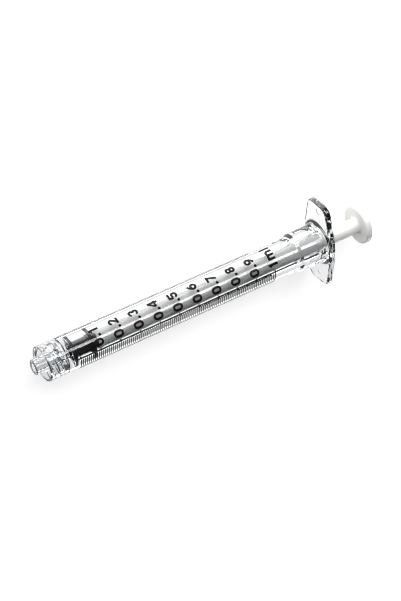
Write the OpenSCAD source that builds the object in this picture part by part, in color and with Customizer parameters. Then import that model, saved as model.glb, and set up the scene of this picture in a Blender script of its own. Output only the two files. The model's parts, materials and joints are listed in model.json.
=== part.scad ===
// Oral dosing syringe, 1 mL, with a locking cone tip.
// The barrel's axis is X: the tip points to -X and the thumb rest to +X.
// The origin is the centre of the tip's end face. +Z is square to the broad side of the finger flange.

/* [Tip and lock collar] */
// Diameter of the cone tip at its end
tip_d = 3.97; // [3.9:0.01:4.1]
// How far the tip stands out of the collar's mouth
tip_proud = 2.3; // [2.1:0.1:3]
// Diameter of the channel through the tip
channel_d = 2.1; // [1.2:0.1:2.4]
// Depth of the space inside the collar, from its mouth
collar_depth = 5.4; // [5.4:0.1:6.2]
// Inside diameter of the collar at the thread's root
thread_root_d = 8.0; // [7.9:0.05:8.1]
// Inside diameter of the collar at the thread's crest
thread_crest_d = 7.0; // [6.8:0.05:7.2]
// Advance of the two-start thread in one turn
thread_lead = 5; // [4:0.5:6]

/* [Barrel] */
// Outside diameter of the barrel and collar
barrel_d = 9.2; // [8.8:0.1:9.4]
// Diameter of the bore that the stopper runs in
bore_d = 4.78; // [4.6:0.02:5]
// Length of the scale, from 0 to 1 mL
scale_length = 55.7; // [52:0.1:58]
// Distance from the tip's end to the zero line
zero_x = 10.6; // [10.4:0.1:12]
// Diameter of the thicker sleeve in front of the flange
sleeve_d = 10.2; // [9.8:0.1:10.6]
// Distance from the zero line to the start of the sleeve
sleeve_start = 63.3; // [62:0.1:64]
// Radius of the round root between the sleeve and the flange
root_r = 1.6; // [1:0.1:2.4]

/* [Finger flange] */
// Distance from the zero line to the flange's front face
flange_start = 71.45; // [70:0.1:73]
// Thickness of the flange
flange_t = 1.7; // [1.2:0.1:2.2]
// Length of the flange from end to end
flange_length = 24.2; // [22:0.2:26]
// Width of the flange across its middle
flange_width = 12; // [11.8:0.1:13]
// Width of the flange at its ends
flange_end_w = 8.8; // [7:0.2:10]
// Length of the straight edges at the flange's middle
flange_mid_l = 4; // [2:0.2:6]
// Radius of the flange's corners
flange_corner_r = 2.7; // [1.5:0.1:3.4]
// Diameter of the shallow round marks on the flange's back face
mark_d = 1.6; // [1:0.1:2]

/* [Stopper and plunger rod] */
// Gap all round between the stopper's ribs and the bore
stopper_gap = 0.02; // [0.01:0.01:0.1]
// Length of the stopper behind the zero line
stopper_length = 6.2; // [5.6:0.1:7]
// Diameter of the plunger rod
rod_d = 4.2; // [3.8:0.1:4.4]
// Distance from the zero line to the thumb rest's front face, plunger pushed home
thumb_start = 83.4; // [80:0.1:88]
// Diameter of the thumb rest
thumb_d = 10.4; // [9:0.1:11]
// Thickness of the thumb rest
thumb_t = 1.7; // [1.2:0.1:2.4]

/* [Printed scale] */
// Number of divisions from 0 to 1 mL
divisions = 100; // [50, 100]
// Width of a short graduation line
line_w = 0.3; // [0.15:0.01:0.35]
// Height of a numeral
digit_h = 2.7; // [2:0.1:3]
// Width of a numeral
digit_w = 1.9; // [1.5:0.1:2]
// Thickness of a numeral's strokes
stroke = 0.6; // [0.4:0.02:0.7]
// Angle from +Z, towards -Y, at which every graduation line ends
line_end_a = 52; // [40:1:70]

/* [Hidden] */
$fn = 96;
eps = 0.01;

// Tip and collar
tip_r = tip_d / 2;
cone_slope = 0.03;
mouth_x = tip_proud;
floor_x = mouth_x + collar_depth;
tip_root_r = tip_r + cone_slope * floor_x;
tip_edge = 0.15;
mouth_edge = 0.3;
thread_root_r = thread_root_d / 2;
thread_crest_r = thread_crest_d / 2;
thread_starts = 2;
thread_crest_w = 0.7;
thread_root_w = 1.3;
thread_bite = 0.15;
thread_from = mouth_x + 0.5;
thread_to = floor_x - 0.5;

// Barrel
barrel_r = barrel_d / 2;
bore_r = bore_d / 2;
front_rib_x = zero_x - 1.15;
bore_front_x = front_rib_x - 0.05;
cone_len = 0.6;
sleeve_r = sleeve_d / 2;
sleeve_x = zero_x + sleeve_start;
step_len = 0.9;
flange_x = zero_x + flange_start;
flange_end_x = flange_x + flange_t;
root_x = flange_x - root_r;
// The bore opens out behind the last place that the stopper's rear rib reaches
relief_x = zero_x + 62.6;
relief_len = 2.0;
relief_r = bore_r + 0.2;
entry_r = bore_r + 0.9;
entry_len = 1.0;
mark_at = 9.4;
mark_depth = 0.1;

// Stopper, measured from the zero line
rib_r = bore_r - stopper_gap;
rib_w = 1.1;
rib_round = 0.3;
waist_r = 2.05;
rear_rib_at = 4.0;
nose_r = 0.8;
nose_len = 0.5;
plug_neck_r = 0.9;
plug_head_r = 1.35;
plug_head_at = 1.4;
plug_head_len = 1.5;
plug_lip = 0.45;

// Plunger rod
rod_r = rod_d / 2;
guide_r = 2.25;
guide_len = 0.9;
rod_x = zero_x + stopper_length;
thumb_x = zero_x + thumb_start;
thumb_r = thumb_d / 2;
thumb_edge = 0.35;
hub_r = rod_r + 0.35;
hub_len = 0.8;
dish_r = 3.9;
dish_depth = 0.25;

// Printed scale. Angles run from +Z towards -Y.
ink_t = 0.04;
ink_r = barrel_r + ink_t;
long_w = line_w + 0.06;
long_start_a = -15.5;
mid_start_a = -10.5;
short_start_a = -5;
zero_digit_a = -33;
point_a = -54;
digit_a = -74;
unit_m_a = -67.5;
unit_l_a = -96.2;
unit_m_w = 2.9;
unit_m_h = 2.05;
glyph_from = 3.4;
glyph_to = 5.4;

// ---------------------------------------------------------------- helpers

// Spins a profile about the X axis. In the profile, x is the radius and y is the distance along X.
module lathe() {
    rotate([0, 90, 0])
        rotate_extrude(convexity = 6)
            children();
}

// A ring's profile between two radii and two places along X
module band(r0, r1, x0, x1) {
    translate([r0, x0])
        square([r1 - r0, x1 - x0]);
}

// ---------------------------------------------------------------- barrel

// Solid cone tip with a broken edge at its end
module tip_profile() {
    polygon([
        [0, 0], [tip_r - tip_edge, 0], [tip_r + cone_slope * tip_edge, tip_edge],
        [tip_root_r, floor_x], [tip_root_r, floor_x + eps], [0, floor_x + eps]
    ]);
}

// Collar, barrel wall and sleeve as one thick tube, closed at the collar's floor
module wall_profile() {
    polygon([
        [0, floor_x], [thread_root_r, floor_x],
        [thread_root_r, mouth_x + mouth_edge], [thread_root_r + mouth_edge, mouth_x],
        [barrel_r - mouth_edge / 2, mouth_x], [barrel_r, mouth_x + mouth_edge / 2],
        [barrel_r, sleeve_x], [sleeve_r, sleeve_x + step_len],
        [sleeve_r, flange_x + eps], [0, flange_x + eps]
    ]);
}

// Concave round from the sleeve out to the flange's front face
module root_profile() {
    difference() {
        band(sleeve_r - eps, sleeve_r + root_r, root_x, flange_x + eps);
        translate([sleeve_r + root_r, root_x])
            circle(root_r);
    }
}

// Bore, its cone at the front, the channel through the tip, and the wider mouth at the rear
module bore_profile() {
    polygon([
        [0, -1], [channel_d / 2, -1], [channel_d / 2, bore_front_x - cone_len],
        [bore_r, bore_front_x], [bore_r, relief_x], [relief_r, relief_x + relief_len],
        [relief_r, flange_end_x - entry_len], [entry_r, flange_end_x + eps],
        [entry_r, flange_end_x + 1], [0, flange_end_x + 1]
    ]);
}

// Flange outline: a long octagon with round corners, whose slanted edges run from its narrow ends
// to its middle. Each corner's arc covers the outward directions between its two edges.
module flange_outline() {
    end = [flange_length, flange_end_w] / 2 - flange_corner_r * [1, 1];
    mid = [flange_mid_l, flange_width - 2 * flange_corner_r] / 2;
    slant_a = atan2(end[0] - mid[0], mid[1] - end[1]);
    quarter = [[1, 1], [-1, 1], [-1, -1], [1, -1]];
    polygon([
        for (q = [0:3], a = [90 * q:5:90 * (q + 1)])
            let (corner = abs(cos(a)) > cos(slant_a) ? end : mid)
                [quarter[q][0] * corner[0], quarter[q][1] * corner[1]]
                    + flange_corner_r * [cos(a), sin(a)]
    ]);
}

// The flange's outline carried along X from x
module flange_block(x, length) {
    translate([x, 0, 0])
        rotate([90, 0, 90])
            linear_extrude(length)
                flange_outline();
}

// The round root, cut off where it would stand past the flange's long sides
module flange_root() {
    intersection() {
        lathe() root_profile();
        flange_block(root_x - eps, root_r + 2 * eps);
    }
}

// The flange's long side lies along Y
module flange() {
    difference() {
        flange_block(flange_x, flange_t);
        for (side = [-1, 1])
            translate([flange_end_x - mark_depth, side * mark_at, 0])
                rotate([0, 90, 0])
                    cylinder(h = 1 + mark_depth, d = mark_d, $fn = 32);
    }
}

// One start of the collar's inside thread, as a twisted lug that bites into the wall
module thread_start() {
    pitch_a = 360 / thread_lead;
    crest_a = thread_crest_w * pitch_a;
    root_a = thread_root_w * pitch_a;
    outer_r = thread_root_r + thread_bite;
    run = thread_to - thread_from;
    crest = [for (i = [0:6]) crest_a * (i / 6 - 0.5)];
    root = [for (i = [0:8]) root_a * (0.5 - i / 8)];
    translate([thread_from, 0, 0])
        rotate([0, 90, 0])
            linear_extrude(run, twist = -run * pitch_a, slices = 28, $fn = 24)
                polygon(concat(
                    [for (a = crest) thread_crest_r * [cos(a), sin(a)]],
                    [for (a = root) outer_r * [cos(a), sin(a)]]
                ));
}

module barrel() {
    color("aliceblue", 0.4)
        union() {
            difference() {
                union() {
                    lathe() tip_profile();
                    lathe() wall_profile();
                    flange_root();
                    flange();
                }
                lathe() bore_profile();
            }
            for (start = [0:thread_starts - 1])
                rotate([start * 360 / thread_starts, 0, 0])
                    thread_start();
        }
}

// ---------------------------------------------------------------- stopper

// A sealing rib with rounded corners, from its front edge at x
module rib_profile(x) {
    band(0, rib_r - rib_round, x, x + rib_w);
    band(0, rib_r, x + rib_round, x + rib_w - rib_round);
    for (edge = [x + rib_round, x + rib_w - rib_round])
        translate([rib_r - rib_round, edge])
            circle(rib_round, $fn = 48);
}

// The end of the rod that snaps into the stopper: a neck and a barbed head
module plug_profile(grow = 0) {
    head_x = zero_x + plug_head_at;
    polygon([
        [0, head_x], [plug_neck_r - plug_lip / 2, head_x],
        [plug_head_r, head_x + plug_head_len - plug_lip], [plug_head_r, head_x + plug_head_len],
        [plug_neck_r, head_x + plug_head_len + plug_lip / 2],
        [plug_neck_r, rod_x + grow], [0, rod_x + grow]
    ]);
}

module stopper_profile() {
    difference() {
        union() {
            rib_profile(front_rib_x);
            rib_profile(zero_x + rear_rib_at);
            band(0, waist_r, front_rib_x + rib_w / 2, rod_x);
            polygon([
                [0, front_rib_x - nose_len], [nose_r, front_rib_x - nose_len],
                [rib_r - rib_round - 0.1, front_rib_x],
                [rib_r - rib_round - 0.1, front_rib_x + rib_w / 2], [0, front_rib_x + rib_w / 2]
            ]);
        }
        plug_profile(1);
    }
}

module stopper() {
    color("#1c1c1e")
        lathe() stopper_profile();
}

// ---------------------------------------------------------------- plunger rod

module thumb_profile() {
    band(0, thumb_r - thumb_edge, thumb_x, thumb_x + thumb_t);
    band(0, thumb_r, thumb_x + thumb_edge, thumb_x + thumb_t - thumb_edge);
    for (edge = [thumb_x + thumb_edge, thumb_x + thumb_t - thumb_edge])
        translate([thumb_r - thumb_edge, edge])
            circle(thumb_edge, $fn = 48);
}

module rod_profile() {
    difference() {
        union() {
            plug_profile(eps);
            band(0, guide_r, rod_x, rod_x + guide_len);
            band(0, rod_r, rod_x, thumb_x + eps);
            polygon([
                [0, thumb_x - hub_len], [rod_r, thumb_x - hub_len],
                [hub_r, thumb_x + eps], [0, thumb_x + eps]
            ]);
            thumb_profile();
        }
        // Shallow dish for the thumb
        polygon([
            [0, thumb_x + thumb_t - dish_depth], [dish_r - dish_depth, thumb_x + thumb_t - dish_depth],
            [dish_r, thumb_x + thumb_t], [dish_r, thumb_x + thumb_t + 1], [0, thumb_x + thumb_t + 1]
        ]);
    }
}

module plunger_rod() {
    color("whitesmoke")
        lathe() rod_profile();
}

// ---------------------------------------------------------------- printed scale

// A printed line round part of the barrel, centred at x, between two angles
module ink_arc(x, w, a0, a1) {
    rotate([0, 90, 0])
        rotate([0, 0, 180 + a0])
            rotate_extrude(angle = a1 - a0)
                band(barrel_r, ink_r, x - w / 2, x + w / 2);
}

module scale_lines() {
    color("black")
        for (i = [0:divisions]) {
            x = zero_x + i * scale_length / divisions;
            tenth = i % (divisions / 10) == 0;
            half = i % (divisions / 20) == 0;
            ink_arc(
                x, tenth ? long_w : line_w,
                tenth ? long_start_a : half ? mid_start_a : short_start_a, line_end_a
            );
        }
}

// Part of a ring between two angles under 180 degrees apart, the start angle first
module arc2d(r, a0, a1) {
    reach = 3 * r;
    mid = (a0 + a1) / 2;
    intersection() {
        difference() {
            circle(r, $fn = 48);
            circle(r - stroke, $fn = 48);
        }
        polygon([
            [0, 0], reach * [cos(a0), sin(a0)], reach * [cos(mid), sin(mid)], reach * [cos(a1), sin(a1)]
        ]);
    }
}

// A straight stroke between two points
module bar2d(p, q, w = stroke) {
    run = q - p;
    side = w / 2 * [-run[1], run[0]] / norm(run);
    polygon([p + side, p - side, q - side, q + side]);
}

// Numerals are centred on their own middle, digit_w wide and digit_h high
half_w = digit_w / 2;
half_h = digit_h / 2;
bowl_r = 0.84;
top_y = half_h - bowl_r;

module ring2d(r) {
    difference() {
        circle(r, $fn = 48);
        circle(r - stroke, $fn = 48);
    }
}

module oval2d(r) {
    for (end = [-1, 1])
        translate([0, end * (half_h - half_w)])
            circle(r, $fn = 48);
    square([2 * r, 2 * (half_h - half_w)], center = true);
}

module digit_0() {
    difference() {
        oval2d(half_w);
        oval2d(half_w - stroke);
    }
}

module digit_1() {
    x = half_w - stroke - 0.2;
    bar2d([x, -half_h], [x, half_h]);
    bar2d([x, half_h - 0.35], [x - 0.62, half_h - 0.82], stroke * 0.85);
}

module digit_2() {
    translate([0, top_y]) {
        arc2d(bowl_r, 60, 175);
        arc2d(bowl_r, -45, 60.5);
    }
    knee = [0, top_y] + (bowl_r - stroke / 2) * [cos(-45), sin(-45)];
    bar2d(knee + [0.05, 0.05], [stroke / 2 - bowl_r, stroke / 2 - half_h]);
    translate([-bowl_r, -half_h])
        square([2 * bowl_r, stroke]);
}

module digit_3() {
    r = half_h / 2 + stroke / 4;
    for (end = [-1, 1])
        translate([0, end * (half_h - r)]) {
            arc2d(r, -90, 30);
            arc2d(r, 29, end > 0 ? 170 : 91);
            if (end < 0)
                arc2d(r, -170, -89);
        }
}

module digit_4() {
    bar_y = -half_h + 0.78;
    stem_x = 0.42;
    bar2d([stem_x, -half_h], [stem_x, half_h]);
    bar2d([-half_w, bar_y], [half_w, bar_y], stroke * 0.9);
    bar2d([stem_x - stroke * 0.2, half_h - 0.1], [-half_w + 0.18, bar_y]);
}

module digit_5() {
    r = 0.88;
    bar2d([-0.62, half_h - stroke / 2], [0.8, half_h - stroke / 2]);
    bar2d([-0.6, half_h], [-0.7, -0.05]);
    translate([0, r - half_h]) {
        arc2d(r, -90, 60);
        arc2d(r, 59, 145);
        arc2d(r, -170, -89);
    }
}

module digit_6() {
    loop_r = 0.92;
    stem_r = 1.9;
    translate([0, loop_r - half_h]) {
        ring2d(loop_r);
        translate([stem_r - loop_r, 0])
            arc2d(stem_r, 109, 181);
    }
}

module digit_7() {
    bar2d([-bowl_r, half_h - stroke / 2], [bowl_r, half_h - stroke / 2]);
    bar2d([bowl_r - stroke / 2, half_h - stroke / 2], [-0.35, -half_h]);
}

module digit_8() {
    r = half_h / 2 + stroke / 4;
    for (end = [-1, 1])
        translate([0, end * (half_h - r)])
            ring2d(r);
}

module digit_9() {
    rotate(180)
        digit_6();
}

module point() {
    translate([0, stroke * 0.6 - half_h])
        circle(stroke * 0.6, $fn = 32);
}

module unit_m() {
    gap = (unit_m_w - stroke) / 2;
    r = (gap + stroke) / 2;
    shoulder = unit_m_h - half_h;
    for (i = [-1:1])
        bar2d([i * gap, -half_h], [i * gap, shoulder - (i < 0 ? 0 : r)]);
    for (i = [-1, 0])
        translate([(i + 0.5) * gap, shoulder - r])
            arc2d(r, 0, 175);
}

module unit_l() {
    bar2d([0, -half_h], [0, half_h]);
}

module digit(n) {
    if (n == 0) digit_0();
    if (n == 1) digit_1();
    if (n == 2) digit_2();
    if (n == 3) digit_3();
    if (n == 4) digit_4();
    if (n == 5) digit_5();
    if (n == 6) digit_6();
    if (n == 7) digit_7();
    if (n == 8) digit_8();
    if (n == 9) digit_9();
}

// Wraps a flat mark on the barrel. It reads towards +Y with its top towards the tip.
module wrap_at(x, a) {
    translate([x, 0, 0])
        rotate([a, 0, 0])
            rotate([0, 0, 90])
                translate([0, 0, glyph_from])
                    linear_extrude(glyph_to - glyph_from)
                        children();
}

module scale_numerals() {
    color("black")
        intersection() {
            lathe() band(barrel_r, ink_r, zero_x, zero_x + scale_length + digit_h);
            union() {
                for (tenth = [1:9]) {
                    x = zero_x + tenth * scale_length / 10;
                    wrap_at(x, zero_digit_a) digit(0);
                    wrap_at(x, point_a) point();
                    wrap_at(x, digit_a) digit(tenth);
                }
                wrap_at(zero_x + scale_length, zero_digit_a) digit(1);
                wrap_at(zero_x + scale_length, unit_m_a) unit_m();
                wrap_at(zero_x + scale_length, unit_l_a) unit_l();
            }
        }
}

barrel();
plunger_rod();
stopper();
scale_lines();
scale_numerals();
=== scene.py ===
"""Looks for the 1 mL oral dosing syringe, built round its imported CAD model.

Everything is in metres in the CAD frame: the barrel's axis is X, the tip's end face is at the
origin, and the flange's long side lies along Y. Lengths below are written in millimetres and
multiplied by MM when they reach Blender.
"""

import json
from math import acos, atan2, ceil, cos, hypot, inf, pi, radians, sin, sqrt

import bmesh
import bpy
from mathutils import Matrix, Vector


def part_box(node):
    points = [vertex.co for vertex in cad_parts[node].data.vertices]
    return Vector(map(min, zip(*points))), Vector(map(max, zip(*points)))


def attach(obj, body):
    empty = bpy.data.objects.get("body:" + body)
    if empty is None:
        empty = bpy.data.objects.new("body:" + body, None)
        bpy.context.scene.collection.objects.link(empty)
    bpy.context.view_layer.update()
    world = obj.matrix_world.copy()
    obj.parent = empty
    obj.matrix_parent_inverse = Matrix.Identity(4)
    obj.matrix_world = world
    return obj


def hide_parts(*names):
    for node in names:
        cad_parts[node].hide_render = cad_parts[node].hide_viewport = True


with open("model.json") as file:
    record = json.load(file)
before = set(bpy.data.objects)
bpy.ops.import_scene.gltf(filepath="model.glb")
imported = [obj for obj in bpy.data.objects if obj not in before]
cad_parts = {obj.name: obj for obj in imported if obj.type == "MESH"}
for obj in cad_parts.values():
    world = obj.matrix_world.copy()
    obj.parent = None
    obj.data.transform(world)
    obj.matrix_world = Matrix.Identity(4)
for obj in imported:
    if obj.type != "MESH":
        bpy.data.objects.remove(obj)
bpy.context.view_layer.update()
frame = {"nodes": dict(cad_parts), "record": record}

MM = 0.001


# ------------------------------------------------------------------ camera

CAMERA_TARGET = Vector((46.46, -1.10, 1.02)) * MM
CAMERA_DISTANCE = 541.1 * MM
CAMERA_BACK = Vector((-0.3866, 0.6275, 0.6759))   # from the target towards the camera
CAMERA_UP = Vector((0.3744, 0.7766, -0.5067))     # the picture's upward direction
CAMERA_LENS = 131.8
CAMERA_SENSOR = 36
CAMERA_NEAR = 0.01                                # clipping distances, in metres
CAMERA_FAR = 10


def make_camera():
    data = bpy.data.cameras.new("camera")
    data.lens = CAMERA_LENS
    data.sensor_width = CAMERA_SENSOR
    data.clip_start = CAMERA_NEAR
    data.clip_end = CAMERA_FAR
    camera = bpy.data.objects.new("camera", data)
    back = CAMERA_BACK.normalized()
    right = CAMERA_UP.cross(back).normalized()
    turn = Matrix((right, back.cross(right), back)).transposed().to_4x4()
    camera.matrix_world = Matrix.Translation(CAMERA_TARGET + back * CAMERA_DISTANCE) @ turn
    bpy.context.scene.collection.objects.link(camera)
    bpy.context.scene.camera = camera


# ------------------------------------------------------------------ sizes, from the frame

mounts = {m["name"]: m for m in frame["record"]["mounts"]}


def mount_x(name):
    return mounts[name]["pos_m"][0] / MM


def mount_dim(name, key):
    return mounts[name]["dims"][key]


def low(node):
    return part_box(node)[0] / MM


def high(node):
    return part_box(node)[1] / MM


TIP_R = mount_dim("luer_tip", "r_mm")
MOUTH_X = mount_x("luer_lock")
FLOOR_X = MOUTH_X + mount_dim("luer_lock", "length_mm")
THREAD_CREST_R = mount_dim("luer_lock", "r_mm")
CHANNEL_R = mount_dim("fluid_channel", "r_mm")
CONE_X = mount_dim("fluid_channel", "length_mm")
SLEEVE_R = mount_dim("sleeve", "r_mm")
SLEEVE_MID_X = mount_x("sleeve")
SLEEVE_LEN = mount_dim("sleeve", "length_mm")
FLANGE_X = mount_x("flange_front")
FLANGE_END_X = high("barrel").x
FLANGE_HALF_L = high("barrel").y
FLANGE_HALF_W = high("barrel").z
STOPPER_END_X = high("stopper").x
NOSE_X = low("stopper").x
ROD_END_X = high("plunger_rod").x
THUMB_R = high("plunger_rod").z

# The CAD model's own values, repeated where the frame doesn't give them
CONE_SLOPE = 0.03
TIP_ROOT_R = TIP_R + CONE_SLOPE * FLOOR_X
THREAD_ROOT_R = 4.0
THREAD_LEAD = 5.0
THREAD_STARTS = 2
BARREL_R = 4.6
BORE_R = 2.39
CONE_LEN = 0.6
BORE_FRONT_X = CONE_X + CONE_LEN
FRONT_RIB_X = BORE_FRONT_X + 0.05
ZERO_X = FRONT_RIB_X + 1.15         # the scale's zero line
STEP_LEN = 0.9
SLEEVE_X = SLEEVE_MID_X - SLEEVE_LEN / 2
ROOT_R = 1.6
RELIEF_X = ZERO_X + 62.6
RELIEF_LEN = 2
RELIEF_R = BORE_R + 0.2
ENTRY_LEN = 1
ENTRY_R = BORE_R + 0.9


# ------------------------------------------------------------------ mesh helpers

AROUND = 360            # points in a ring
FILLET_STEPS = 7
EDGE_SHARE = 0.49       # the most of an edge that one fillet takes
NEARLY_FLAT = radians(89)
SUPPORT_SHARE = 0.25    # the close point past an arc's end, as a share of the cut corner
SUPPORT_MAX = 0.03


def arc_between(p, q, centre, steps):
    """Points on the short arc about centre from p to q, ends included."""
    a0 = atan2(p[1] - centre[1], p[0] - centre[0])
    a1 = atan2(q[1] - centre[1], q[0] - centre[0])
    turn = (a1 - a0 + pi) % (2 * pi) - pi
    r = hypot(p[0] - centre[0], p[1] - centre[1])
    return [
        (centre[0] + r * cos(a0 + turn * i / steps), centre[1] + r * sin(a0 + turn * i / steps))
        for i in range(steps + 1)
    ]


def fillet(before, corner, after, radius):
    """The corner's replacement: an arc, with a close point past each end to keep the flats flat."""
    here = Vector(corner)
    to_before, to_after = Vector(before) - here, Vector(after) - here
    reach = min(to_before.length, to_after.length) * EDGE_SHARE
    u, v = to_before.normalized(), to_after.normalized()
    half = acos(max(-1.0, min(1.0, u.dot(v)))) / 2
    if radius <= 0 or half > NEARLY_FLAT:
        return [corner]
    cut = min(radius / (sin(half) / cos(half)), reach)
    r = cut * sin(half) / cos(half)
    centre = here + (u + v).normalized() * (r / sin(half))
    support = min(SUPPORT_SHARE * cut, SUPPORT_MAX)
    p, q = here + u * cut, here + v * cut
    arc = arc_between(tuple(p), tuple(q), tuple(centre), FILLET_STEPS)
    return [tuple(p + u * support)] + arc + [tuple(q + v * support)]


def rounded(corners):
    """A line of (x, radius, fillet) corners as (x, radius) points, its ends kept sharp."""
    flat = [(c[0], c[1]) for c in corners]
    n = len(flat)
    points = []
    for i, c in enumerate(corners):
        at_end = i in (0, n - 1)
        points += [flat[i]] if at_end else fillet(flat[i - 1], flat[i], flat[i + 1], c[2])
    return points


def mesh_object(name, verts, faces):
    mesh = bpy.data.meshes.new(name)
    mesh.from_pydata([Vector(v) * MM for v in verts], [], faces)
    mesh.polygons.foreach_set("use_smooth", [True] * len(mesh.polygons))
    mesh.update()
    piece = bpy.data.objects.new(name, mesh)
    bpy.context.scene.collection.objects.link(piece)
    return piece


def direction(i):
    a = 2 * pi * i / AROUND
    return cos(a), sin(a)


def circle_ring(x, r):
    return [(x, r * c, r * s) for c, s in map(direction, range(AROUND))]


def loop_mesh(name, rings):
    """Joins rings of AROUND points into one closed skin, the last ring back to the first."""
    verts = [v for ring in rings for v in ring]
    faces = []
    for k in range(len(rings)):
        a, b = k * AROUND, (k + 1) % len(rings) * AROUND
        for i in range(AROUND):
            j = (i + 1) % AROUND
            faces.append((a + i, a + j, b + j, b + i))
    return mesh_object(name, verts, faces)


def spun_mesh(name, profile):
    """Spins a line of (x, radius) points that starts and ends on the axis."""
    inner = profile[1:-1]
    verts = [(profile[0][0], 0, 0)]
    for x, r in inner:
        verts += circle_ring(x, r)
    verts.append((profile[-1][0], 0, 0))
    last = len(verts) - 1
    faces = []
    for i in range(AROUND):
        j = (i + 1) % AROUND
        faces.append((0, 1 + j, 1 + i))
        for k in range(len(inner) - 1):
            a, b = 1 + k * AROUND, 1 + (k + 1) * AROUND
            faces.append((a + i, a + j, b + j, b + i))
        a = 1 + (len(inner) - 1) * AROUND
        faces.append((a + i, a + j, last))
    return mesh_object(name, verts, faces)


# ------------------------------------------------------------------ barrel

FLANGE_END_HALF_W = 4.4
FLANGE_MID_HALF_L = 2.0
FLANGE_CORNER_R = 2.7
FLANGE_EDGE_R = 0.6
FLANGE_EDGE_STEPS = 6
FLANGE_FACE_STEPS = 70
FLAT_SUPPORT = 0.02     # a ring this close to a rounded edge keeps the face beside it flat
BACK_R = ENTRY_R + 0.5
MARK_AT = 9.4
MARK_R = 0.75
MARK_DEPTH = 0.06
MARK_EDGE = 0.25        # width of a mark's soft edge
NEARLY_ZERO = 1e-6


def smooth_step(t):
    t = max(0.0, min(1.0, t))
    return t * t * (3 - 2 * t)


def flange_reach(a):
    """How far the flange's outline lies from the axis in the direction a, and its normal there."""
    r = FLANGE_CORNER_R
    end = Vector((FLANGE_HALF_L - r, FLANGE_END_HALF_W - r))
    mid = Vector((FLANGE_MID_HALF_L, FLANGE_HALF_W - r))
    ray = Vector((abs(cos(a)), abs(sin(a))))
    slant = (mid - end).normalized()
    slant_out = Vector((slant.y, -slant.x))
    if slant_out.x < 0:
        slant_out = -slant_out
    best = inf
    normal = ray
    for start, out in ((end, Vector((1, 0))), (end, slant_out), (mid, Vector((0, 1)))):
        facing = ray.dot(out)
        if facing > NEARLY_ZERO:
            reach = (start.dot(out) + r) / facing
            if reach < best:
                best, normal = reach, out
    for centre, low_a, high_a in (
        (end, 0.0, atan2(slant_out.y, slant_out.x)),
        (mid, atan2(slant_out.y, slant_out.x), pi / 2),
    ):
        along = ray.dot(centre)
        gap = centre.length_squared - along * along
        if gap < r * r:
            reach = along + sqrt(r * r - gap)
            out = (ray * reach - centre) / r
            if low_a <= atan2(out.y, out.x) <= high_a:
                best, normal = reach, out
    sign = Vector((1 if cos(a) >= 0 else -1, 1 if sin(a) >= 0 else -1))
    return best, Vector((normal.x * sign.x, normal.y * sign.y))


def root_x(r):
    """Where the flange's front lies at the radius r, with the round root from sleeve to flange."""
    off = max(0.0, SLEEVE_R + ROOT_R - r)
    return FLANGE_X - ROOT_R + sqrt(max(0.0, ROOT_R ** 2 - off ** 2))


def flange_rings():
    """Rings over the flange: round root, front face, rounded edge, rim, rounded edge, back face."""
    outline = []
    for i in range(AROUND):
        a = 2 * pi * i / AROUND
        reach, normal = flange_reach(a)
        outline.append((Vector((reach * cos(a), reach * sin(a))), normal))
    e = FLANGE_EDGE_R
    face_inset = e + FLAT_SUPPORT

    def edge_ring(x, inset):
        return [(x, *(p - n * inset)) for p, n in outline]

    def front_edge_ring(behind, inset):
        return [(root_x(p.length) + behind, *(p - n * inset)) for p, n in outline]

    def front_ring(t):
        ring = []
        for (p, n), (c, s) in zip(outline, map(direction, range(AROUND))):
            y, z = Vector((SLEEVE_R * c, SLEEVE_R * s)).lerp(p - n * face_inset, t)
            ring.append((root_x(hypot(y, z)), y, z))
        return ring

    def back_ring(t):
        ring = []
        for (p, n), (c, s) in zip(outline, map(direction, range(AROUND))):
            y, z = (p - n * face_inset).lerp(Vector((BACK_R * c, BACK_R * s)), t)
            off = hypot(abs(y) - MARK_AT, z)
            dip = MARK_DEPTH * smooth_step((MARK_R + MARK_EDGE / 2 - off) / MARK_EDGE)
            ring.append((FLANGE_END_X - dip, y, z))
        return ring

    across = [k / FLANGE_FACE_STEPS for k in range(FLANGE_FACE_STEPS + 1)]
    bends = [pi / 2 * k / FLANGE_EDGE_STEPS for k in range(FLANGE_EDGE_STEPS + 1)]
    front = [front_ring(t ** 2) for t in across]    # closest together at the root
    front_edge = [front_edge_ring(e * (1 - cos(b)), e * (1 - sin(b))) for b in bends]
    rim = [front_edge_ring(face_inset, 0), edge_ring(FLANGE_END_X - face_inset, 0)]
    back_edge = [
        edge_ring(FLANGE_END_X - e * (1 - cos(b)), e * (1 - sin(b))) for b in reversed(bends)
    ]
    back = [back_ring(t) for t in across]
    return front + front_edge + rim + back_edge + back


THREAD_PITCH = THREAD_LEAD / THREAD_STARTS
THREAD_FROM = MOUTH_X + 0.5
THREAD_TO = FLOOR_X - 0.4
THREAD_FADE = 0.5           # length over which the thread rises at each end
THREAD_HALF_W = 0.68
THREAD_FLANK_W = 0.36
THREAD_STEP = 0.075         # distance between rings


def thread_depth(x, a):
    """How far the collar's thread stands in from its root at x and polar angle a."""
    along = x - THREAD_FROM - (a + pi / 2) / (2 * pi) * THREAD_LEAD
    off = abs((along + THREAD_PITCH / 2) % THREAD_PITCH - THREAD_PITCH / 2)
    flank = smooth_step((THREAD_HALF_W - off) / THREAD_FLANK_W)
    rise = smooth_step((x - THREAD_FROM + THREAD_FADE / 2) / THREAD_FADE)
    fall = smooth_step((THREAD_TO - x) / THREAD_FADE)
    return (THREAD_ROOT_R - THREAD_CREST_R) * flank * rise * fall


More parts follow.
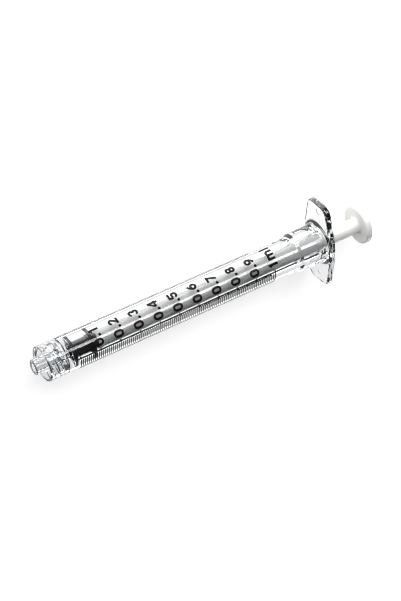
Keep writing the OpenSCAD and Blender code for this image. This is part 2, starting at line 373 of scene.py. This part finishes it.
def thread_rings():
    """The collar's inside wall from its floor to its mouth."""
    first = FLOOR_X - 0.32
    last = MOUTH_X + 0.27
    steps = ceil((first - last) / THREAD_STEP)
    rings = []
    for k in range(steps + 1):
        x = first + (last - first) * k / steps
        ring = []
        for i in range(AROUND):
            c, s = direction(i)
            r = THREAD_ROOT_R - thread_depth(x, 2 * pi * i / AROUND)
            ring.append((x, r * c, r * s))
        rings.append(ring)
    return rings


def rings_of(profile):
    return [circle_ring(x, r) for x, r in profile]


def make_barrel():
    """One closed skin: channel to tip, collar inside, wall, flange, and back along the bore."""
    tip = rounded([
        (CONE_X, CHANNEL_R, 0), (0, CHANNEL_R, 0.22), (0, TIP_R, 0.32),
        (FLOOR_X, TIP_ROOT_R, 0.3), (FLOOR_X, THREAD_ROOT_R, 0.3), (MOUTH_X + 1, THREAD_ROOT_R, 0),
    ])[1:-1]
    mouth = rounded([
        (FLOOR_X - 1, THREAD_ROOT_R, 0), (MOUTH_X, THREAD_ROOT_R, 0.28), (MOUTH_X, BARREL_R, 0.3),
        (SLEEVE_X - STEP_LEN, BARREL_R, 0.35), (SLEEVE_X, SLEEVE_R, 0.3), (SLEEVE_MID_X, SLEEVE_R, 0),
    ])[1:-1]
    bore = rounded([
        (FLANGE_END_X, BACK_R, 0), (FLANGE_END_X, ENTRY_R, 0.3),
        (FLANGE_END_X - ENTRY_LEN, RELIEF_R, 0.4), (RELIEF_X + RELIEF_LEN, RELIEF_R, 0.8),
        (RELIEF_X, BORE_R, 0.8), (BORE_FRONT_X, BORE_R, 0.1),
        (CONE_X, CHANNEL_R, 0.15), (0, CHANNEL_R, 0),
    ])[1:-1]
    rings = (
        rings_of(tip) + thread_rings() + rings_of(mouth)
        + flange_rings() + rings_of(bore)
    )
    barrel = loop_mesh("barrel_moulding", rings)
    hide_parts("barrel")
    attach(barrel, "barrel")
    return barrel


# ------------------------------------------------------------------ stopper and rod

CONTACT = 0.012         # the squeezed ribs touch the bore
RIB_R = BORE_R + CONTACT
RIB_W = 1.0
RIB_FLANK = 0.35        # length of a rib's slanted flank
REAR_RIB_X = ZERO_X + 4.1
WAIST_R = 2.0
NOSE_R = 0.8
NOSE_ROOT_R = 1.95

# The rod's barbed plug, from its tip back to its neck. Its socket in the stopper has the same corners.
PLUG_X = ZERO_X + 1.4
PLUG_TIP_R = 0.68
PLUG_BARB_X = ZERO_X + 2.45
PLUG_BARB_END_X = ZERO_X + 2.9
PLUG_BARB_R = 1.35
PLUG_NECK_X = ZERO_X + 3.12
PLUG_NECK_R = 0.9
PLUG_GAP = 0.02         # gap between the plug and its socket

ROD_R = 2.1
GUIDE_R = 2.25
GUIDE_LEN = 0.9
THUMB_X = ROD_END_X - 1.7
DISH_R = 3.9
DISH_DEPTH = 0.25


def plug_corners(gap, edge):
    """The plug's corners from its tip to its neck, smaller all round by gap, the barb's edge rounded."""
    return [
        (PLUG_X + gap, 0, 0), (PLUG_X + gap, PLUG_TIP_R - gap, 0),
        (PLUG_BARB_X, PLUG_BARB_R - gap, edge), (PLUG_BARB_END_X - gap, PLUG_BARB_R - gap, edge),
        (PLUG_NECK_X, PLUG_NECK_R - gap, 0),
    ]


def make_stopper():
    profile = rounded([
        (NOSE_X, 0, 0), (NOSE_X, NOSE_R, 0.2), (FRONT_RIB_X, NOSE_ROOT_R, 0.1),
        (FRONT_RIB_X, RIB_R, 0.22), (FRONT_RIB_X + RIB_W, RIB_R, 0.25),
        (FRONT_RIB_X + RIB_W + RIB_FLANK, WAIST_R, 0.4), (REAR_RIB_X - RIB_FLANK, WAIST_R, 0.4),
        (REAR_RIB_X, RIB_R, 0.25), (REAR_RIB_X + RIB_W, RIB_R, 0.25),
        (REAR_RIB_X + RIB_W + RIB_FLANK, WAIST_R, 0.3), (STOPPER_END_X, WAIST_R, 0.2),
        (STOPPER_END_X, PLUG_NECK_R, 0.05),
    ] + plug_corners(0, 0)[::-1])
    stopper = spun_mesh("stopper_rubber", profile)
    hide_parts("stopper")
    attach(stopper, "plunger")
    return stopper


def make_rod():
    guide_end_x = STOPPER_END_X + GUIDE_LEN
    dish_x = ROD_END_X - DISH_DEPTH
    profile = rounded(plug_corners(PLUG_GAP, 0.05) + [
        (STOPPER_END_X, PLUG_NECK_R - PLUG_GAP, 0), (STOPPER_END_X, GUIDE_R, 0.15),
        (guide_end_x, GUIDE_R, 0.15), (guide_end_x, ROD_R, 0.1),
        (THUMB_X, ROD_R, 0.7), (THUMB_X, THUMB_R, 0.45), (ROD_END_X, THUMB_R, 0.45),
        (ROD_END_X, DISH_R, 0.2), (dish_x, DISH_R - DISH_DEPTH, 0.2), (dish_x, 0, 0),
    ])
    rod = spun_mesh("rod_moulding", profile)
    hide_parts("plunger_rod")
    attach(rod, "plunger")
    return rod


# ------------------------------------------------------------------ print

PRINT_SINK = 0.012      # the ink keys into the barrel's skin
PRINT_THICK = 0.02
PRINT_CUTS = 90         # planes through the axis that keep the film round
PRINT_SNAP = 1e-7       # points closer to a plane than this, in metres, are left uncut


def make_print(node):
    """The CAD node's marks, cut finely round the barrel and laid as a thin film in touch with it."""
    work = bmesh.new()
    work.from_mesh(frame["nodes"][node].data)
    for k in range(PRINT_CUTS):
        a = pi * k / PRINT_CUTS
        bmesh.ops.bisect_plane(
            work, geom=work.verts[:] + work.edges[:] + work.faces[:], dist=PRINT_SNAP,
            plane_co=(0, 0, 0), plane_no=(0, cos(a), sin(a)),
        )
    middle = (high(node).z + BARREL_R) / 2
    for v in work.verts:
        r = hypot(v.co.y, v.co.z) / MM
        film = BARREL_R - PRINT_SINK if r < middle else BARREL_R + PRINT_THICK
        v.co.y *= film / r
        v.co.z *= film / r
    mesh = bpy.data.meshes.new(node + "_print")
    work.to_mesh(mesh)
    work.free()
    piece = bpy.data.objects.new(mesh.name, mesh)
    bpy.context.scene.collection.objects.link(piece)
    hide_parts(node)
    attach(piece, "barrel")
    return piece


# ------------------------------------------------------------------ materials

class Nodes:
    """Short names for building one material's node tree."""

    def __init__(self, name):
        self.material = bpy.data.materials.new(name)
        self.material.use_nodes = True
        self.tree = self.material.node_tree
        self.shader = self.tree.nodes["Principled BSDF"]

    def add(self, kind, **values):
        node = self.tree.nodes.new(kind)
        for key, value in values.items():
            if key in node.inputs:
                node.inputs[key].default_value = value
            else:
                setattr(node, key, value)
        return node

    def join(self, source, target):
        self.tree.links.new(source, target)

    def set(self, **values):
        for key, value in values.items():
            self.shader.inputs[key.replace("_", " ")].default_value = value

    def noise(self, scale, detail=2.0, stretch=(1, 1, 1)):
        place = self.add("ShaderNodeTexCoord")
        scaled = self.add("ShaderNodeMapping")
        scaled.inputs["Scale"].default_value = stretch
        self.join(place.outputs["Object"], scaled.inputs["Vector"])
        noise = self.add("ShaderNodeTexNoise", Scale=scale, Detail=detail)
        self.join(scaled.outputs["Vector"], noise.inputs["Vector"])
        return noise.outputs["Fac"]

    def spread(self, factor, low_value, high_value):
        """Noise gathers round its middle, so its 0.3 to 0.7 is spread over the two values."""
        ramp = self.add("ShaderNodeMapRange")
        ramp.inputs["From Min"].default_value = 0.3
        ramp.inputs["From Max"].default_value = 0.7
        ramp.inputs["To Min"].default_value = low_value
        ramp.inputs["To Max"].default_value = high_value
        self.join(factor, ramp.inputs["Value"])
        return ramp.outputs["Result"]

    def colour(self, factor, first, second):
        """In a colour mix node, input 0 is the factor, 6 and 7 are the colours, output 2 the result."""
        mix = self.add("ShaderNodeMix", data_type="RGBA")
        mix.inputs[6].default_value = (*first, 1)
        mix.inputs[7].default_value = (*second, 1)
        self.join(factor, mix.inputs[0])
        self.join(mix.outputs[2], self.shader.inputs["Base Color"])

    def bump(self, height, distance, strength=1.0):
        bump = self.add("ShaderNodeBump", Strength=strength, Distance=distance)
        self.join(height, bump.inputs["Height"])
        self.join(bump.outputs["Normal"], self.shader.inputs["Normal"])


def clear_plastic():
    """Polished clear polycarbonate with faint flow lines along the barrel."""
    n = Nodes("clear_plastic")
    n.set(Base_Color=(0.85, 0.86, 0.87, 1), Transmission_Weight=1.0, IOR=1.585)
    n.join(n.spread(n.noise(500, 3), 0.0, 0.03), n.shader.inputs["Roughness"])
    n.bump(n.noise(900, 1, (0.12, 1, 1)), 0.000004)
    return n.material


def white_plastic():
    """Natural polypropylene: milky, slightly see-through, with a fine moulded grain."""
    n = Nodes("white_plastic")
    n.colour(n.noise(260, 3), (0.73, 0.73, 0.715), (0.79, 0.79, 0.775))
    n.set(Subsurface_Weight=0.6, Subsurface_Radius=(1.0, 0.95, 0.9), Subsurface_Scale=0.0015, IOR=1.49)
    n.join(n.spread(n.noise(1800, 2), 0.12, 0.2), n.shader.inputs["Roughness"])
    n.bump(n.noise(5000, 2), 0.000006)
    return n.material


def black_rubber():
    """Soft black rubber, smooth from its mould and wet with silicone."""
    n = Nodes("black_rubber")
    n.colour(n.noise(1500, 3), (0.004, 0.004, 0.005), (0.009, 0.009, 0.010))
    n.set(Specular_IOR_Level=0.5)
    n.join(n.spread(n.noise(2500, 2), 0.28, 0.42), n.shader.inputs["Roughness"])
    n.bump(n.noise(6000, 2), 0.000008)
    return n.material


def black_ink():
    """Printed ink with small changes in how thickly it lies."""
    n = Nodes("black_ink")
    n.colour(n.noise(4000, 3), (0.003, 0.003, 0.003), (0.012, 0.010, 0.009))
    n.set(Specular_IOR_Level=0.3, Specular_Tint=(1.0, 0.8, 0.7, 1))
    n.join(n.spread(n.noise(3000, 2), 0.25, 0.35), n.shader.inputs["Roughness"])
    return n.material


def pale_floor():
    """Pale table whose surface glows as a painted pool of light, brightest round the object and less so
    far away.
    """
    n = Nodes("pale_floor")
    n.colour(n.noise(3, 2), (0.58, 0.58, 0.58), (0.60, 0.60, 0.60))
    n.set(Roughness=0.9, Specular_IOR_Level=0.1)
    place = n.add("ShaderNodeTexCoord")
    length = n.add("ShaderNodeVectorMath", operation="LENGTH")
    n.join(place.outputs["Object"], length.inputs[0])
    # painted light: emission strongest round the object, fading to FAR_GLOW far away
    glow = n.add("ShaderNodeMapRange", interpolation_type="SMOOTHSTEP")
    glow.inputs["From Min"].default_value = GLOW_R
    glow.inputs["From Max"].default_value = DARK_R
    glow.inputs["To Min"].default_value = GLOW
    glow.inputs["To Max"].default_value = FAR_GLOW
    n.join(length.outputs["Value"], glow.inputs["Value"])
    n.join(glow.outputs["Result"], n.shader.inputs["Emission Strength"])
    n.set(Emission_Color=(1, 1, 1, 1))
    return n.material


# ------------------------------------------------------------------ room

# The floor and the light panels are in metres, and the places on the table in millimetres
MIDDLE_X = 45
FLOOR_HALF = 3.0
GLOW = 0.75                   # the table's glow out to GLOW_R from the object's middle
GLOW_R = 0.22
FAR_GLOW = 0.35               # the table's glow past DARK_R
DARK_R = 0.55
LIGHT_FAR = 0.8               # from the object's middle to each soft light
KEY_WAY = Vector((0.387, 0.681, 0.621))     # mirrored by the barrel towards the camera
KEY_SIZE = (0.5, 0.22)
KEY_GLOW = 6.0
FILL_WAY = Vector((0.25, -0.95, 0.1))
FILL_SIZE = (0.6, 0.14)
FILL_GLOW = 5.0
FRONT_WAY = Vector((-0.2, 0.85, 0.45))
FRONT_SIZE = (0.5, 0.4)
FRONT_GLOW = 8.0
STRIP_AT = (60, 30)           # a brighter panel let into the table beside the barrel, X and Y
STRIP_SIZE = (0.2, 0.036)
STRIP_GLOW = 2.0
STRIP_PROUD = 0.2             # its height over the table
ROOM_COLOUR = (0.95, 0.97, 1.0, 1)
ROOM_GLOW = 0.08
FILTER_WIDTH = 1.0            # narrow enough to keep the graduation lines crisp


def area_light(name, way, size, glow, place=None):
    """A soft rectangular light that shines against way, its long side level. Glow is its radiance."""
    data = bpy.data.lights.new(name, "AREA")
    data.shape = "RECTANGLE"
    data.size, data.size_y = size
    data.energy = glow * pi * size[0] * size[1]
    lamp = bpy.data.objects.new(name, data)
    way = way.normalized()
    level = Vector((-way.y, way.x, 0))
    across = level.normalized() if level.length > 0 else Vector((1, 0, 0))
    turn = Matrix((across, way.cross(across), way)).transposed().to_4x4()
    middle = Vector((MIDDLE_X, 0, 0)) * MM
    lamp.matrix_world = Matrix.Translation(place or middle + way * LIGHT_FAR) @ turn
    bpy.context.scene.collection.objects.link(lamp)
    return lamp


def make_floor():
    mesh = bpy.data.meshes.new("floor")
    h = FLOOR_HALF
    mesh.from_pydata([(-h, -h, 0), (h, -h, 0), (h, h, 0), (-h, h, 0)], [], [(0, 1, 2, 3)])
    floor = bpy.data.objects.new("floor", mesh)
    floor.location = Vector((MIDDLE_X, 0, low("barrel").z)) * MM
    mesh.materials.append(pale_floor())
    bpy.context.scene.collection.objects.link(floor)


def make_lights():
    area_light("key", KEY_WAY, KEY_SIZE, KEY_GLOW)
    area_light("fill", FILL_WAY, FILL_SIZE, FILL_GLOW)
    area_light("front", FRONT_WAY, FRONT_SIZE, FRONT_GLOW)
    strip_place = Vector((*STRIP_AT, low("barrel").z + STRIP_PROUD)) * MM
    area_light("table_strip", Vector((0, 0, -1)), STRIP_SIZE, STRIP_GLOW, strip_place)


def make_world():
    world = bpy.data.worlds.new("world")
    world.use_nodes = True
    sky = world.node_tree.nodes["Background"]
    sky.inputs["Color"].default_value = ROOM_COLOUR
    sky.inputs["Strength"].default_value = ROOM_GLOW
    bpy.context.scene.world = world
    bpy.context.scene.view_settings.view_transform = "Standard"
    bpy.context.scene.cycles.filter_width = FILTER_WIDTH


make_camera()
make_barrel().data.materials.append(clear_plastic())
make_stopper().data.materials.append(black_rubber())
make_rod().data.materials.append(white_plastic())
ink = black_ink()
for name in ("scale_lines", "scale_numerals"):
    make_print(name).data.materials.append(ink)
make_floor()
make_lights()
make_world()
